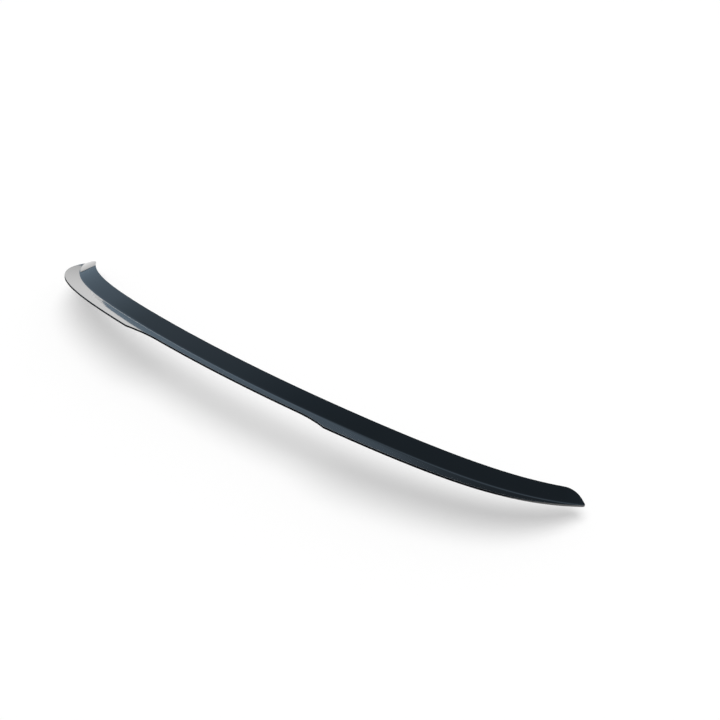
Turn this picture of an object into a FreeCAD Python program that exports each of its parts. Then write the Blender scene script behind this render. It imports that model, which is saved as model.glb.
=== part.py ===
import FreeCAD, Part
import math
import os

# Spoiler extension: a plate that is taped along the edge of a boot lid, with an upturned rear lip.
# X runs across the car to its right, Y towards its front, Z up, in millimetres.
# The origin is the middle of the face that is glued to the car.

# Path of the crease between plate and lip, the same to the left and the right
half_span = 580.0       # middle to tip
bow = 89.5              # forward sweep that grows with the square of the distance from the middle
tip_sweep = 69.0        # forward sweep that sets in close to the tip
crown = 43.0            # drop that grows with the square of the distance from the middle
tip_droop = 26.0        # drop that sets in close to the tip

# Section, the same all along the path
plate_width = 40.5      # crease to front edge
lip_angle = 31.2        # degrees, lip above plate
wall = 3.0
fold_radius = 4.0       # inside the fold

# Depth of the lip, measured up its slope from the crease
wing_lip = 46.8
mid_lip = 25.5
step_at = 223.0         # middle to the corner at which the deep lip starts
ramp_run = 64.0         # length over which the shallow lip climbs to that corner
tip_run = 39.5          # how soon the deep lip falls off before the tip

# Ends and corners of the outline
end_run = 25.0          # tip back to the front corner, along X
front_corner_radius = 25.0
tip_radius = 2.5
step_radius = 1.5

# Mounting tape and its film
tape_width = 22.0
tape_back = 8.0         # crease to the tape's rear edge
tape_thickness = 1.1
tape_inset = 30.0       # tip to the tape's end, along X
film_thickness = 0.2

# Derived sizes
slope = math.radians(lip_angle)
up_lip = FreeCAD.Vector(0, -math.cos(slope), math.sin(slope))
off_lip = FreeCAD.Vector(0, math.sin(slope), math.cos(slope))
off_plate = FreeCAD.Vector(0, 0, 1)
overrun = 6.0 * wall                                    # swept stock beyond the outline
cut_depth = 2.0 * (crown + tip_droop + wing_lip)        # each way, past the whole part
cut_reach = 2.0 * (bow + tip_sweep + wing_lip)          # past the part's rear edge
origin_y = -(tape_back + tape_width / 2)
origin_z = wall + tape_thickness
trim_tolerance = wall / 3000                            # how closely the trimming cuts have to meet


def path_point(x):
    share = abs(x) / half_span
    y = bow * share**2 + tip_sweep * share**8
    z = -crown * share**2 - tip_droop * share**8
    return FreeCAD.Vector(x, origin_y + y, origin_z + z)


def path_curve(reach):
    # The path is a polynomial of degree 8, so one Bezier span holds it without error.
    share = reach / half_span
    poles = []
    for i in range(9):
        first = (i - 4) / 4 * share
        second = ((2 * i - 8)**2 - 8) / 56 * share**2
        eighth = (-1)**i * share**8
        y = origin_y + bow * second + tip_sweep * eighth
        z = origin_z - crown * second - tip_droop * eighth
        poles.append(FreeCAD.Vector(half_span * first, y, z))
    curve = Part.BezierCurve()
    curve.setPoles(poles)
    return curve


def lip_depth(x):
    deep = wing_lip * (1 - math.exp(-(half_span - abs(x)) / tip_run))
    if abs(x) >= step_at:
        return deep
    top = wing_lip * (1 - math.exp(-(half_span - step_at) / tip_run))
    climb = max(0.0, abs(x) - step_at + ramp_run) / ramp_run
    return mid_lip + (top - mid_lip) * climb**2


def rim_point(x):
    return path_point(x) + up_lip * lip_depth(x)


def rim_run():
    # Direction in which the lip's edge arrives at the right tip
    return (rim_point(half_span) - rim_point(half_span - wall / 30)).normalize()


def section(at):
    half = slope / 2
    outer = fold_radius + wall

    # Both bends of the fold turn about one centre, so that the wall keeps its thickness.
    centre = at + FreeCAD.Vector(0, fold_radius * math.tan(half), fold_radius)

    def bend(radius, angle):
        return centre - FreeCAD.Vector(0, math.sin(angle), math.cos(angle)) * radius

    front = at + FreeCAD.Vector(0, plate_width + overrun, 0)
    rear = at + up_lip * (wing_lip + overrun)
    upper = Part.Arc(bend(fold_radius, 0), bend(fold_radius, half), bend(fold_radius, slope)).toShape()
    lower = Part.Arc(bend(outer, slope), bend(outer, half), bend(outer, 0)).toShape()
    edges = [
        Part.makeLine(front, bend(fold_radius, 0)),
        upper,
        Part.makeLine(bend(fold_radius, slope), rear),
        Part.makeLine(rear, rear - off_lip * wall),
        Part.makeLine(rear - off_lip * wall, bend(outer, slope)),
        lower,
        Part.makeLine(bend(outer, 0), front - off_plate * wall),
        Part.makeLine(front - off_plate * wall, front),
    ]
    return Part.Wire(edges)


def carried(edge, path):
    # The surface that a section edge leaves behind when it is moved along the path without turning.
    side = edge.Curve.toBSpline(edge.FirstParameter, edge.LastParameter)
    track = path.toBSpline()
    start = path.value(path.FirstParameter)
    poles = [[p - start + q for q in side.getPoles()] for p in track.getPoles()]
    surface = Part.BSplineSurface()
    surface.buildFromPolesMultsKnots(
        poles,
        track.getMultiplicities(),
        side.getMultiplicities(),
        track.getKnots(),
        side.getKnots(),
        False,
        False,
        track.Degree,
        side.Degree,
        [side.getWeights() for p in poles],
    )
    return surface.toShape()


def swept_stock():
    path = path_curve(half_span + overrun)
    wire = section(path.value(path.FirstParameter))
    faces = [carried(edge, path) for edge in wire.Edges]
    faces.append(Part.Face(wire))
    faces.append(Part.Face(section(path.value(path.LastParameter))))
    shell = Part.makeShell(faces)
    shell.sewShape()
    return Part.makeSolid(shell)


def smooth_edge(point_at, start, end, count):
    curve = Part.BSplineCurve()
    curve.interpolate([point_at(start + (end - start) * i / count) for i in range(count + 1)])
    return curve.toShape()


def chain(points):
    return [Part.makeLine(a, b) for a, b in zip(points, points[1:])]


def flipped(point):
    return FreeCAD.Vector(-point.x, point.y, point.z)


def flattened(point):
    return FreeCAD.Vector(point.x, point.y, 0)


def prism(edges, direction):
    face = Part.Face(Part.Wire(edges))
    face.translate(direction * -cut_depth)
    return face.extrude(direction * (2 * cut_depth))


def round_corner(solid, corner, direction, radius):
    # Rounds the prism edges that run along direction through the corner and through its mirror image.
    found = []
    for edge in solid.Edges:
        if edge.tangentAt(edge.FirstParameter).cross(direction).Length > 0.001:
            continue
        start = edge.Vertexes[0].Point
        for spot in (corner, flipped(corner)):
            if (spot - start).cross(direction).Length < 0.01:
                found.append(edge)
    return solid.makeFillet(radius, found)


def plate_outline():
    # Seen from above: the front edge, the two ends and the tips, with room behind them for any lip.
    def front_point(x):
        return FreeCAD.Vector(x, path_point(x).y + plate_width, 0)

    inner = half_span - end_run
    corner = front_point(inner)

    # Each end runs on to the line that touches the lip's edge at the tip, halfway through the wall.
    end_line = flattened(rim_point(half_span)) - corner
    rim_line = flattened(rim_run())
    halfway = flattened(rim_point(half_span) - off_lip * (wall / 2))
    tip = corner + end_line * ((halfway - corner).cross(rim_line).z / end_line.cross(rim_line).z)
    behind = tip - rim_line * cut_reach
    edges = [smooth_edge(front_point, -inner, inner, 40)]
    edges += chain([corner, tip, behind, flipped(behind), flipped(tip), flipped(corner)])
    rounded = round_corner(prism(edges, off_plate), corner, off_plate, front_corner_radius)
    return round_corner(rounded, tip, off_plate, tip_radius)


def lip_cut():
    # Seen square to the lip: all that lies beyond the lip's edge.
    def squared(point):
        return FreeCAD.Vector(point.x, 0, 0) + up_lip * point.dot(up_lip)

    def edge_point(x):
        return squared(rim_point(x))

    corner = edge_point(step_at)
    tip = edge_point(half_span)
    past_tip = tip + squared(rim_run()) * 3 * overrun
    beyond = FreeCAD.Vector(past_tip.x, 0, 0) + up_lip * cut_reach
    edges = [
        smooth_edge(edge_point, -half_span, -step_at, 32),
        smooth_edge(edge_point, -step_at, step_at, 56),
        smooth_edge(edge_point, step_at, half_span, 32),
    ]
    edges += chain([tip, past_tip, beyond, flipped(beyond), flipped(past_tip), flipped(tip)])
    return round_corner(prism(edges, off_lip), corner, off_lip, step_radius)


def spoiler_body():
    trimmed = swept_stock().common([plate_outline()], trim_tolerance)
    return trimmed.cut([lip_cut()], trim_tolerance).Solids[0]


def strip(top, thickness):
    edge = path_curve(half_span - tape_inset).toShape()
    edge.translate(FreeCAD.Vector(0, tape_back, -top))
    band = edge.extrude(FreeCAD.Vector(0, tape_width, 0))
    return band.extrude(off_plate * -thickness)


os.makedirs("parts", exist_ok=True)
spoiler_body().exportStep("parts/spoiler_body.step")
strip(wall, tape_thickness).exportStep("parts/mounting_tape.step")
strip(wall + tape_thickness, film_thickness).exportStep("parts/release_liner.step")
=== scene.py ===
import bpy
import math
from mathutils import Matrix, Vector


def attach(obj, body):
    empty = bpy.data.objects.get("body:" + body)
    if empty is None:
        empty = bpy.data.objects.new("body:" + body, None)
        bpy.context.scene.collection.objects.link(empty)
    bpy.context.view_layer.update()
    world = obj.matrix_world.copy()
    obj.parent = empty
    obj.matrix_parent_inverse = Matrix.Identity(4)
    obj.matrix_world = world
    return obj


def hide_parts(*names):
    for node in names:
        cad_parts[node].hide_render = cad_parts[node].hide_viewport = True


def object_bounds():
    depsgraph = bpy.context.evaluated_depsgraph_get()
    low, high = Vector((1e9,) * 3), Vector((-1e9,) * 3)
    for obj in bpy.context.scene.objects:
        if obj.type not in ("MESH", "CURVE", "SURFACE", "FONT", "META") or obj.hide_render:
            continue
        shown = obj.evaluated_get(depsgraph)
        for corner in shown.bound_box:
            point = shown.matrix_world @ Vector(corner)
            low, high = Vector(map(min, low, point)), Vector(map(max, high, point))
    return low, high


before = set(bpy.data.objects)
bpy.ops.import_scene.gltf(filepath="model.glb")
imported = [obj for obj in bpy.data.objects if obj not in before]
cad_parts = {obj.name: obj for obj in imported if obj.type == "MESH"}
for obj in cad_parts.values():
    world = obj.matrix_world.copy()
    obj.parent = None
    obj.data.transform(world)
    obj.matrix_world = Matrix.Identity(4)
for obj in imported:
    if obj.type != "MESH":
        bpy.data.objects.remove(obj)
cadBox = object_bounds()
print("frame loaded:", ", ".join(sorted(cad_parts)))

mm = 0.001
tiny = 1e-6                    # lengths below this count as none

# crease between plate and lip, in millimetres: x across the car, y to its front, z up
crease = {
    "halfSpan": 580.0,
    "bow": 89.5,               # forward sweep
    "tipSweep": 69.0,          # extra sweep close to the tips
    "crown": 43.0,             # drop towards the ends
    "tipDroop": 26.0,          # extra drop close to the tips
    "middleY": -19.0,          # place of the crease at the middle
    "middleZ": 4.1,
}


def creaseY(x):
    share = abs(x) / crease["halfSpan"]
    return crease["middleY"] + crease["bow"] * share**2 + crease["tipSweep"] * share**8


def creaseZ(x):
    share = abs(x) / crease["halfSpan"]
    return crease["middleZ"] - crease["crown"] * share**2 - crease["tipDroop"] * share**8


def linear(hexColour):
    # sRGB hex to the linear colour that the sockets take
    parts = [int(hexColour[i:i + 2], 16) / 255 for i in (1, 3, 5)]
    return [c / 12.92 if c <= 0.04045 else ((c + 0.055) / 1.055)**2.4 for c in parts] + [1.0]


def addNode(tree, kind, values=None, links=None, **settings):
    node = tree.nodes.new(kind)
    for name, value in settings.items():
        setattr(node, name, value)
    for name, value in (values or {}).items():
        node.inputs[name].default_value = value
    for name, source in (links or {}).items():
        tree.links.new(source, node.inputs[name])
    return node


def newMaterial(name):
    material = bpy.data.materials.new(name)
    material.use_nodes = True
    material.node_tree.nodes.clear()
    return material, material.node_tree


def paintRamp(ramp, stops):
    # stops are (place, hex colour) pairs in rising order
    points = ramp.color_ramp.elements
    while len(points) < len(stops):
        points.new(0.5)
    for point, (place, colour) in zip(points, stops):
        point.position = place
        point.color = linear(colour)


def gridPiece(name, columns, rows):
    # a flat grid of that many points each way, from -1 to 1
    bpy.ops.object.select_all(action="DESELECT")
    bpy.ops.mesh.primitive_grid_add(x_subdivisions=columns - 1, y_subdivisions=rows - 1, size=2)
    piece = bpy.context.object
    piece.name = name
    return piece


# moulded and slit edges are never knife sharp; angles in degrees
edgeFinish = {"roundPast": 50.0, "smoothUpTo": 40.0}


def roundEdges(piece, width, segments):
    rounding = piece.modifiers.new("edgeRound", "BEVEL")
    rounding.limit_method = "ANGLE"
    rounding.angle_limit = math.radians(edgeFinish["roundPast"])
    rounding.width = width * mm
    rounding.segments = segments
    rounding.use_clamp_overlap = False
    bpy.ops.object.modifier_apply(modifier="edgeRound")
    bpy.ops.object.shade_smooth_by_angle(angle=math.radians(edgeFinish["smoothUpTo"]))


# moulded shell
spoilerBody = {
    "plateWidth": 40.5,        # crease to front edge
    "lipAngle": 31.2,          # degrees, lip above plate
    "wall": 3.0,
    "foldRadius": 10.0,
    "wingLip": 46.8,           # depth of the lip up its slope
    "midLip": 25.5,
    "stepAt": 223.0,           # corner of the deep lip
    "rampRun": 64.0,           # climb of the shallow lip to that corner
    "tipRun": 39.5,            # fall of the deep lip before the tip
    "endRun": 25.0,            # tip back to the front corner
    "frontCorner": 25.0,       # rounding of that corner
    "tipRound": 2.5,
    "edgeRound": 0.25,
    "edgeSegments": 3,
    # columns lie close together where the outline turns: how many between the marks, from the middle out
    "columns": [32, 18, 4, 76, 24, 5],
    "stepBand": 2.0,           # marks each side of the deep lip's corner
    "tipBand": 40.0,           # marks before the tip
    "lastBand": 4.0,
    "endEase": 0.9,            # share of the half span from which columns lean to match the straight end
    "edgeRow": 0.6,            # narrowest row, wider than the rounding
    "plateRows": 9,
    "foldRows": 7,
    "lipRows": 9,
}
slope = math.radians(spoilerBody["lipAngle"])
foldReach = spoilerBody["foldRadius"] * math.tan(slope / 2)


def lipDepth(x):
    b = spoilerBody
    deep = b["wingLip"] * (1 - math.exp(-(crease["halfSpan"] - abs(x)) / b["tipRun"]))
    if abs(x) >= b["stepAt"]:
        return deep
    top = b["wingLip"] * (1 - math.exp(-(crease["halfSpan"] - b["stepAt"]) / b["tipRun"]))
    climb = max(0.0, abs(x) - b["stepAt"] + b["rampRun"]) / b["rampRun"]
    return b["midLip"] + (top - b["midLip"]) * climb**2


def rimY(x):
    return creaseY(x) - lipDepth(x) * math.cos(slope)


def foldTurn(off):
    # turn of the section that far ahead of the crease: none on the plate, all of it on the lip
    return math.asin(min(max((foldReach - off) / spoilerBody["foldRadius"], 0.0), math.sin(slope)))


def foldRise(off):
    if off < -foldReach * math.cos(slope):
        return -off * math.tan(slope)
    return spoilerBody["foldRadius"] * (1 - math.cos(foldTurn(off)))


def spread(start, end, count):
    # that many even steps from start, without start itself
    return [start + (end - start) * i / count for i in range(1, count + 1)]


def columnPlaces():
    b = spoilerBody
    half = crease["halfSpan"]
    marks = [
        0.0,
        b["stepAt"] - b["rampRun"],
        b["stepAt"] - b["stepBand"],
        b["stepAt"] + b["stepBand"],
        half - b["tipBand"],
        half - b["lastBand"],
        half,
    ]
    right = []
    for start, end, count in zip(marks, marks[1:], b["columns"]):
        right += spread(start, end, count)
    return [-x for x in reversed(right)] + [0.0] + right


def rowPlaces(x):
    # distances ahead of the crease, from the lip's edge to the front edge
    b = spoilerBody
    row = b["edgeRow"]
    rim = -lipDepth(x) * math.cos(slope)
    lip = [rim, rim + row] + spread(rim + row, -foldReach * math.cos(slope), b["lipRows"] - 2)[:-1]
    turns = [slope] + spread(slope, 0.0, b["foldRows"])
    fold = [foldReach - b["foldRadius"] * math.sin(turn) for turn in turns]
    plate = spread(foldReach, b["plateWidth"] - row, b["plateRows"]) + [b["plateWidth"]]
    # close to the tip the lip is too shallow for its rows, so they move up on to the plate
    return [max(place, rim + row * i) for i, place in enumerate(lip + fold + plate)]


def roundedCorner(point, corner, normalA, normalB, radius):
    # pulls what lies in a sharp corner of the plan on to its rounding
    centre = corner - (normalA + normalB) * (radius / (1 + normalA.dot(normalB)))
    away = point - centre
    pastA = away.cross(normalA) * normalB.cross(normalA)
    pastB = away.cross(normalB) * normalA.cross(normalB)
    if away.length < tiny or pastA < 0 or pastB < 0:
        return point
    return centre + away * (max(away.dot(normalA), away.dot(normalB)) / away.length)


def leftOf(direction):
    return Vector((-direction.y, direction.x)).normalized()


def slopeAt(curve, x):
    # direction of a plan curve at x, taken over a short step
    step = 0.1
    return Vector((step, curve(x) - curve(x - step)))


def planPoint(x, off):
    # plan position on the plate or lip: rows ahead of the crease stop short of the tip, on a straight end
    b = spoilerBody
    half = crease["halfSpan"]
    inner = half - b["endRun"]
    tip = Vector((half, creaseY(half)))
    corner = Vector((inner, creaseY(inner) + b["plateWidth"]))
    share = max(off, 0.0) / b["plateWidth"]
    reach = abs(x) / half
    across = reach * (half - b["endRun"] * share)
    end = tip.lerp(corner, share)
    bend = end.y - creaseY(end.x) - max(off, 0.0)
    ease = max(0.0, (reach - b["endEase"]) / (1 - b["endEase"]))**2
    point = Vector((across, creaseY(across) + off + bend * ease))
    endSide = leftOf(tip - corner)
    point = roundedCorner(point, corner, leftOf(slopeAt(creaseY, inner)), endSide, b["frontCorner"])
    point = roundedCorner(point, tip, endSide, -leftOf(slopeAt(rimY, half)), b["tipRound"])
    return Vector((math.copysign(point.x, x), point.y))


def makeSpoilerBody():
    b = spoilerBody
    columns = columnPlaces()
    layout = [rowPlaces(x) for x in columns]
    body = gridPiece("spoilerBody", len(columns), len(layout[0]))
    turns = body.data.attributes.new("turn", "FLOAT", "POINT")
    for vertex in body.data.vertices:
        column = round((vertex.co.x + 1) / 2 * (len(columns) - 1))
        row = round((vertex.co.y + 1) / 2 * (len(layout[0]) - 1))
        plan = planPoint(columns[column], layout[column][row])
        off = plan.y - creaseY(plan.x)
        vertex.co = Vector((plan.x, plan.y, creaseZ(plan.x) + foldRise(off))) * mm
        turns.data[vertex.index].value = foldTurn(off)

    # the wall: the skin is extruded, and each new point moves square to the section
    bpy.ops.object.mode_set(mode="EDIT")
    bpy.ops.mesh.select_all(action="SELECT")
    bpy.ops.mesh.extrude_region_move()
    bpy.ops.object.mode_set(mode="OBJECT")
    turns = body.data.attributes["turn"]
    for vertex in body.data.vertices:
        if vertex.select:
            turn = turns.data[vertex.index].value
            vertex.co -= Vector((0, math.sin(turn), math.cos(turn))) * b["wall"] * mm
    body.data.attributes.remove(turns)
    bpy.ops.object.mode_set(mode="EDIT")
    bpy.ops.mesh.select_all(action="SELECT")
    bpy.ops.mesh.normals_make_consistent(inside=False)
    bpy.ops.object.mode_set(mode="OBJECT")
    roundEdges(body, b["edgeRound"], b["edgeSegments"])
    return body


# foam tape on the underside of the plate
mountingTape = {
    "width": 22.0,
    "back": 8.0,               # crease to the tape's rear edge
    "top": spoilerBody["wall"],     # below the crease
    "thickness": 1.1,
    "inset": 30.0,             # tip to the tape's end
    "edgeRound": 0.2,
    "edgeSegments": 2,
    "margin": 0.4,             # narrow row along each edge, wider than the rounding
    "columns": 271,
    "rows": 6,
}

# film that covers the tape's glue until the part is fitted
releaseLiner = dict(mountingTape, thickness=0.2, edgeRound=0.05)
releaseLiner["top"] = mountingTape["top"] + mountingTape["thickness"]


def makeStrip(name, sizes):
    # a strip that follows the crease
    margin = sizes["margin"]
    rows = [0.0, margin] + spread(margin, sizes["width"] - margin, sizes["rows"]) + [sizes["width"]]
    strip = gridPiece(name, sizes["columns"], len(rows))
    for vertex in strip.data.vertices:
        row = round((vertex.co.y + 1) / 2 * (len(rows) - 1))
        x = vertex.co.x * (crease["halfSpan"] - sizes["inset"])
        vertex.co = Vector((x, creaseY(x) + sizes["back"] + rows[row], creaseZ(x) - sizes["top"])) * mm
    bpy.ops.object.mode_set(mode="EDIT")
    bpy.ops.mesh.select_all(action="SELECT")
    bpy.ops.mesh.extrude_region_move(TRANSFORM_OT_translate={"value": (0, 0, -sizes["thickness"] * mm)})
    bpy.ops.mesh.select_all(action="SELECT")
    bpy.ops.mesh.normals_make_consistent(inside=False)
    bpy.ops.object.mode_set(mode="OBJECT")
    roundEdges(strip, sizes["edgeRound"], sizes["edgeSegments"])
    return strip


# injection-moulded ABS under clear lacquer: deep black and mirror-like, with the faint orange peel
# of a sprayed coat
glossBlack = {
    "deep": "#020202",
    "pale": "#040405",
    "cloud": 60.0,             # width of the faint clouds in tone and gloss
    "roughness": (0.05, 0.09),
    "peel": 2.6,               # width of the orange peel
    "peelHeight": 0.004,
    "peelStrength": 0.05,
}


def makeGlossBlack():
    g = glossBlack
    material, tree = newMaterial("lacqueredBlackAbs")
    place = addNode(tree, "ShaderNodeTexCoord").outputs["Object"]
    cloud = addNode(
        tree, "ShaderNodeTexNoise",
        {"Scale": 1 / (g["cloud"] * mm), "Detail": 3.0},
        {"Vector": place},
    )
    tone = addNode(tree, "ShaderNodeValToRGB", links={"Fac": cloud.outputs["Fac"]})
    paintRamp(tone, [(0.35, g["deep"]), (0.65, g["pale"])])
    gloss = addNode(
        tree, "ShaderNodeMapRange",
        {"To Min": g["roughness"][0], "To Max": g["roughness"][1]},
        {"Value": cloud.outputs["Fac"]},
    )
    peel = addNode(
        tree, "ShaderNodeTexNoise",
        {"Scale": 1 / (g["peel"] * mm), "Detail": 1.0},
        {"Vector": place},
    )
    bump = addNode(
        tree, "ShaderNodeBump",
        {"Strength": g["peelStrength"], "Distance": g["peelHeight"] * mm},
        {"Height": peel.outputs["Fac"]},
    )
    skin = addNode(
        tree, "ShaderNodeBsdfPrincipled",
        {"IOR": 1.5, "Coat Weight": 1.0, "Coat Roughness": 0.03, "Coat IOR": 1.55},
        {
            "Base Color": tone.outputs["Color"],
            "Roughness": gloss.outputs["Result"],
            "Normal": bump.outputs["Normal"],
            "Coat Normal": bump.outputs["Normal"],
        },
    )
    addNode(tree, "ShaderNodeOutputMaterial", links={"Surface": skin.outputs["BSDF"]})
    return material


# closed-cell acrylic foam, cast and slit: dull dark grey with fine open pores along the cut edges
acrylicFoam = {
    "body": "#2b2d30",
    # the pores' darker colour is painted shade in the hollows of the cut foam
    "paintedPoreShade": "#17181a",
    "poreSize": 0.5,           # drawn coarser than the real cells, so that they show
    "poreDepth": 0.1,
    "poreStrength": 0.5,
}


def makeAcrylicFoam():
    f = acrylicFoam
    material, tree = newMaterial("castAcrylicFoam")
    place = addNode(tree, "ShaderNodeTexCoord").outputs["Object"]
    pores = addNode(tree, "ShaderNodeTexVoronoi", {"Scale": 1 / (f["poreSize"] * mm)}, {"Vector": place})
    # darker towards the middle of each pore: painted shade in the pores
    tone = addNode(tree, "ShaderNodeValToRGB", links={"Fac": pores.outputs["Distance"]})
    paintRamp(tone, [(0.1, f["paintedPoreShade"]), (0.45, f["body"])])
    bump = addNode(
        tree, "ShaderNodeBump",
        {"Strength": f["poreStrength"], "Distance": f["poreDepth"] * mm},
        {"Height": pores.outputs["Distance"]},
    )
    skin = addNode(
        tree, "ShaderNodeBsdfPrincipled",
        {"Roughness": 0.85, "IOR": 1.47},
        {"Base Color": tone.outputs["Color"], "Normal": bump.outputs["Normal"]},
    )
    addNode(tree, "ShaderNodeOutputMaterial", links={"Surface": skin.outputs["BSDF"]})
    return material


# dyed PET release film, stretched and wound: clear even red, satin, with slight waves along the strip
redFilm = {
    "red": "#e23a48",
    "light": "#ea4552",
    "wave": 14.0,              # width of the waves
    "waveHeight": 0.15,
    "waveStrength": 0.15,
    "grain": 0.8,              # drawn coarser than the real grain, so that it shows
    "roughness": (0.32, 0.46),
}


def makeRedFilm():
    r = redFilm
    material, tree = newMaterial("dyedPetFilm")
    place = addNode(tree, "ShaderNodeTexCoord").outputs["Object"]
    wave = addNode(
        tree, "ShaderNodeTexNoise",
        {"Scale": 1 / (r["wave"] * mm), "Detail": 2.0},
        {"Vector": place},
    )
    grain = addNode(
        tree, "ShaderNodeTexNoise",
        {"Scale": 1 / (r["grain"] * mm), "Detail": 2.0},
        {"Vector": place},
    )
    tone = addNode(tree, "ShaderNodeValToRGB", links={"Fac": wave.outputs["Fac"]})
    paintRamp(tone, [(0.3, r["red"]), (0.7, r["light"])])
    satin = addNode(
        tree, "ShaderNodeMapRange",
        {"To Min": r["roughness"][0], "To Max": r["roughness"][1]},
        {"Value": grain.outputs["Fac"]},
    )
    bump = addNode(
        tree, "ShaderNodeBump",
        {"Strength": r["waveStrength"], "Distance": r["waveHeight"] * mm},
        {"Height": wave.outputs["Fac"]},
    )
    skin = addNode(
        tree, "ShaderNodeBsdfPrincipled",
        {"IOR": 1.57},
        {
            "Base Color": tone.outputs["Color"],
            "Roughness": satin.outputs["Result"],
            "Normal": bump.outputs["Normal"],
        },
    )
    addNode(tree, "ShaderNodeOutputMaterial", links={"Surface": skin.outputs["BSDF"]})
    return material


for piece, node, slot, material in (
    (makeSpoilerBody(), "spoiler_body", "gloss_black_abs", makeGlossBlack()),
    (makeStrip("mountingTape", mountingTape), "mounting_tape", "foam_tape", makeAcrylicFoam()),
    (makeStrip("releaseLiner", releaseLiner), "release_liner", "red_film", makeRedFilm()),
):
    piece.data.materials.clear()
    piece.data.materials.append(material)
    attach(piece, "root")
    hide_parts(node)
    print("made", piece.name, "with", len(piece.data.polygons), "faces")
bpy.data.objects["releaseLiner"].visible_diffuse = False      # keeps the film's red off the floor's shadow

# pale floor a little below the tips, white where the light is even; from below it is clear
floor = {"size": 60.0, "colour": "#f7f7f7", "lift": 0.09, "gap": 0.020}

# painted reflection: dark floor paint behind the left wing that only the gloss sees, keeping the lip's edge
# dark
paintedReflectionPatch = {
    "colour": "#26292d",
    "across": (0.617, 1.0, 0.0),   # its border runs square to this
    "start": -0.29,                # white up to here
    "end": -0.35,                  # dark from here on
}


def makeFloorPaint():
    material, tree = newMaterial("matteWhiteFloor")
    rays = addNode(tree, "ShaderNodeLightPath").outputs
    direct = addNode(
        tree, "ShaderNodeMath",
        links={0: rays["Is Camera Ray"], 1: rays["Is Glossy Ray"]},
        operation="MAXIMUM",
    )
    seen = addNode(
        tree, "ShaderNodeMath",
        links={0: direct.outputs[0], 1: rays["Is Transmission Ray"]},
        operation="MAXIMUM",
    )
    lift = addNode(tree, "ShaderNodeMath", {1: floor["lift"]}, {0: seen.outputs[0]}, operation="MULTIPLY")
    paint = addNode(tree, "ShaderNodeBsdfDiffuse", {"Color": linear(floor["colour"])})
    glow = addNode(tree, "ShaderNodeEmission", {"Color": linear("#ffffff")}, {"Strength": lift.outputs[0]})
    white = addNode(tree, "ShaderNodeAddShader", links={0: paint.outputs[0], 1: glow.outputs[0]})

    # the painted reflection, a dark patch seen by glossy rays alone
    spot = addNode(tree, "ShaderNodeTexCoord").outputs["Object"]
    side = addNode(tree, "ShaderNodeVectorMath", {1: paintedReflectionPatch["across"]}, {0: spot}, operation="DOT_PRODUCT")
    border = addNode(
        tree, "ShaderNodeMapRange",
        {"From Min": paintedReflectionPatch["start"], "From Max": paintedReflectionPatch["end"]},
        {"Value": side.outputs["Value"]},
    )
    shade = addNode(
        tree, "ShaderNodeMath",
        links={0: border.outputs["Result"], 1: rays["Is Glossy Ray"]},
        operation="MULTIPLY",
    )
    # colour of the painted reflection, an emission that only glossy rays meet
    paintedReflectionColour = addNode(tree, "ShaderNodeEmission", {"Color": linear(paintedReflectionPatch["colour"])})
    above = addNode(
        tree, "ShaderNodeMixShader",
        links={0: shade.outputs[0], 1: white.outputs[0], 2: paintedReflectionColour.outputs[0]},
    )

    below = addNode(tree, "ShaderNodeNewGeometry").outputs["Backfacing"]
    clear = addNode(tree, "ShaderNodeBsdfTransparent")
    cover = addNode(tree, "ShaderNodeMixShader", links={0: below, 1: above.outputs[0], 2: clear.outputs[0]})
    addNode(tree, "ShaderNodeOutputMaterial", links={"Surface": cover.outputs[0]})
    return material


bpy.ops.object.select_all(action="DESELECT")
bpy.ops.mesh.primitive_plane_add(size=floor["size"], location=(0, 0, cadBox[0].z - floor["gap"]))
floorPlane = bpy.context.object
floorPlane.name = "floor"
floorPlane.data.materials.append(makeFloorPaint())
print("floor laid")

# studio: an even white tent lights all, and what the gloss mirrors is its cool dim fabric
studio = {
    "white": 0.22,
    # by the sine of the height above the horizon
    "fabric": [
        (0.0, "#8a9eaf"),
        (0.36, "#879bac"),
        (0.41, "#798c9b"),
        (0.44, "#728391"),
        (0.50, "#70808e"),
        (0.58, "#6a7b89"),
        (0.636, "#596a78"),
        (0.68, "#53626e"),
        (0.82, "#53626e"),
        (0.97, "#a6b0b9"),
    ],
    # from straight behind the part, at 0, to straight ahead of it, at 1: dim behind, and a dim seam ahead
    "dim": [
        (0.2, "#707070"),
        (0.45, "#ffffff"),
        (0.92, "#ffffff"),
        (0.9275, "#e3e3e3"),
        (0.9325, "#b6b6b6"),
        (0.9375, "#b6b6b6"),
        (0.947, "#d2d2d2"),
    ],
}


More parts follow.
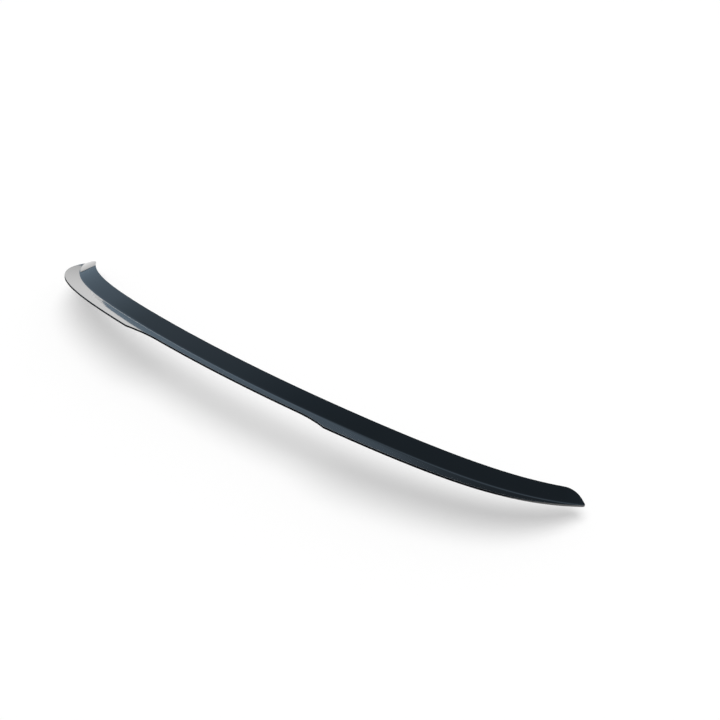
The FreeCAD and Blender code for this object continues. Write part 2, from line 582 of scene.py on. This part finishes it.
def makeStudio():
    world = bpy.data.worlds.new("studio")
    world.use_nodes = True
    tree = world.node_tree
    tree.nodes.clear()
    place = addNode(tree, "ShaderNodeTexCoord").outputs["Generated"]
    axes = addNode(tree, "ShaderNodeSeparateXYZ", links={"Vector": place}).outputs
    fabric = addNode(tree, "ShaderNodeValToRGB", links={"Fac": axes["Z"]})
    paintRamp(fabric, studio["fabric"])
    ahead = addNode(tree, "ShaderNodeMapRange", {"From Min": -1.0, "From Max": 1.0}, {"Value": axes["Y"]})
    dim = addNode(tree, "ShaderNodeValToRGB", links={"Fac": ahead.outputs["Result"]})
    paintRamp(dim, studio["dim"])
    cool = addNode(
        tree, "ShaderNodeVectorMath",
        links={0: fabric.outputs[0], 1: dim.outputs[0]},
        operation="MULTIPLY",
    )
    mirrored = addNode(tree, "ShaderNodeBackground", {"Strength": 1.0}, {"Color": cool.outputs[0]})

    # the tent is white to the camera, and dimmer as a light
    rays = addNode(tree, "ShaderNodeLightPath").outputs
    level = addNode(
        tree, "ShaderNodeMapRange",
        {"To Min": studio["white"], "To Max": 1.0},
        {"Value": rays["Is Camera Ray"]},
    )
    tent = addNode(
        tree, "ShaderNodeBackground",
        {"Color": linear("#ffffff")},
        {"Strength": level.outputs["Result"]},
    )
    air = addNode(
        tree, "ShaderNodeMixShader",
        links={0: rays["Is Glossy Ray"], 1: tent.outputs[0], 2: mirrored.outputs[0]},
    )
    addNode(tree, "ShaderNodeOutputWorld", links={"Surface": air.outputs[0]})
    return world


bpy.context.scene.world = makeStudio()

# two wide lamps overhead, which the gloss doesn't mirror: the key draws the soft shadow, and the fill
# keeps it pale
lamps = {
    "key": {"strength": 0.95, "spread": 60.0, "shadow": True},
    "fill": {"strength": 1.46, "spread": 60.0, "shadow": False},
}
lampHeight = 2.5
for name, lamp in lamps.items():
    bpy.ops.object.light_add(type="SUN", location=(0, 0, lampHeight))
    lampObject = bpy.context.object
    lampObject.name = name
    lampObject.visible_glossy = False
    lampObject.data.energy = lamp["strength"]
    lampObject.data.angle = math.radians(lamp["spread"])
    lampObject.data.use_shadow = lamp["shadow"]
print("studio lit")

# camera at the photograph's viewing angle, for a square picture
view = {
    "lens": 50.0,
    "sensor": 36.0,
    "place": (0.98819, -0.94486, 0.9706),
    "turn": (55.015, -0.62, 38.212),       # degrees
    "clipEnd": 200.0,
}
bpy.ops.object.camera_add(location=view["place"], rotation=[math.radians(a) for a in view["turn"]])
camera = bpy.context.object
camera.data.lens = view["lens"]
camera.data.sensor_width = view["sensor"]
camera.data.clip_end = view["clipEnd"]
bpy.context.scene.camera = camera
bpy.context.scene.view_settings.view_transform = "Standard"
print("camera set")
